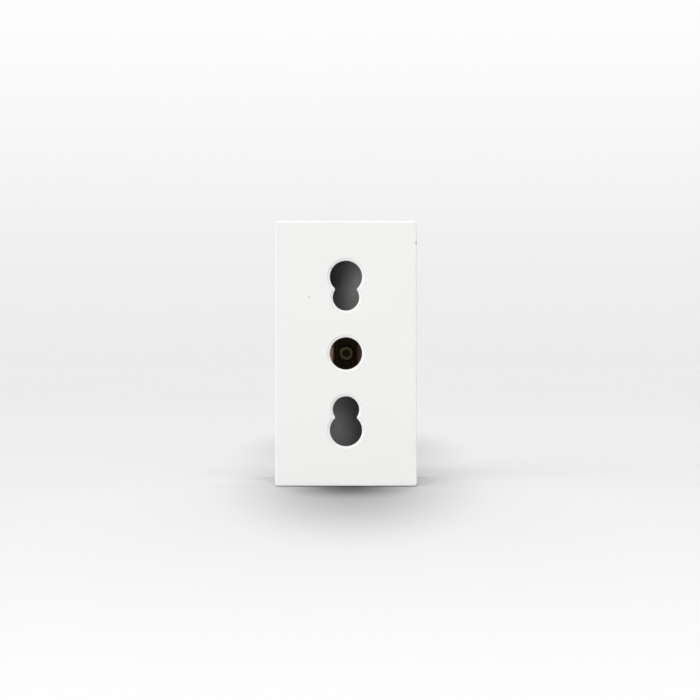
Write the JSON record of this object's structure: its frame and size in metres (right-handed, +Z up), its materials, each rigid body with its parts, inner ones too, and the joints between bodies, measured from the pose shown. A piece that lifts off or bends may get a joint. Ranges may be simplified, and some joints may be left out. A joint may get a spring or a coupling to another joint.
{
  "type": "wall socket module",
  "caption": "Flat-fronted snap-in socket module with keyhole pin openings, an earth hole, a turning safety shutter and rear screw terminals.",
  "frame": {"origin": "centre of the earth hole in the plane of the front face", "axes": "+X to the right seen from the front, +Y into the module away from the plug, +Z up"},
  "size_m": [0.024, 0.037, 0.0448],
  "materials": {
    "white_plastic": "satin",
    "grey_plastic": "satin",
    "black_plastic": "matte",
    "bronze": "satin",
    "brass": "satin",
    "zinc_steel": "zinc plated",
    "spring_steel": "drawn wire"
  },
  "bodies": {
    "housing": {"front_cover": "white_plastic", "inner_plate": "black_plastic", "rear_housing": "black_plastic", "shutter_spring": "spring_steel", "line_clip": "bronze", "neutral_clip": "bronze", "earth_clip": "bronze", "contact_rivets": "brass", "line_strip": "brass", "earth_strip": "brass", "neutral_strip": "brass", "line_cage": "zinc_steel", "earth_cage": "zinc_steel", "neutral_cage": "zinc_steel"},
    "shutter_unit": {"shutter": "grey_plastic"},
    "line_clamp_unit": {"line_clamp": "zinc_steel"},
    "line_screw_unit": {"line_screw": "zinc_steel"},
    "earth_clamp_unit": {"earth_clamp": "zinc_steel"},
    "earth_screw_unit": {"earth_screw": "zinc_steel"},
    "neutral_clamp_unit": {"neutral_clamp": "zinc_steel"},
    "neutral_screw_unit": {"neutral_screw": "zinc_steel"}
  },
  "joints": [
    {"name": "shutter_turn", "type": "hinge", "parent": "housing", "child": "shutter_unit", "pos_m": [0, 0, 0], "axis": [0, 1, 0], "range_deg": [0, 29], "stiffness_Nm_per_rad": 0.0034, "springref_deg": -8.59, "deforming": ["shutter_spring"]},
    {"name": "line_clamp_slide", "type": "slide", "parent": "housing", "child": "line_clamp_unit", "axis": [-1, 0, 0], "range_m": [0, 0.004]},
    {"name": "line_screw_turn", "type": "hinge", "parent": "line_clamp_unit", "child": "line_screw_unit", "pos_m": [0, 0.0293, 0.0115], "axis": [-1, 0, 0], "range_deg": [0, 2401]},
    {"name": "earth_clamp_slide", "type": "slide", "parent": "housing", "child": "earth_clamp_unit", "axis": [-1, 0, 0], "range_m": [0, 0.004]},
    {"name": "earth_screw_turn", "type": "hinge", "parent": "earth_clamp_unit", "child": "earth_screw_unit", "pos_m": [0, 0.0293, 0], "axis": [-1, 0, 0], "range_deg": [0, 2401]},
    {"name": "neutral_clamp_slide", "type": "slide", "parent": "housing", "child": "neutral_clamp_unit", "axis": [-1, 0, 0], "range_m": [0, 0.004]},
    {"name": "neutral_screw_turn", "type": "hinge", "parent": "neutral_clamp_unit", "child": "neutral_screw_unit", "pos_m": [0, 0.0293, -0.0115], "axis": [-1, 0, 0], "range_deg": [0, 2401]}
  ],
  "couplings": [
    {"joint": "line_screw_turn", "follows": "line_clamp_slide", "rad_per_m": 10472},
    {"joint": "earth_screw_turn", "follows": "earth_clamp_slide", "rad_per_m": 10472},
    {"joint": "neutral_screw_turn", "follows": "neutral_clamp_slide", "rad_per_m": 10472}
  ]
}
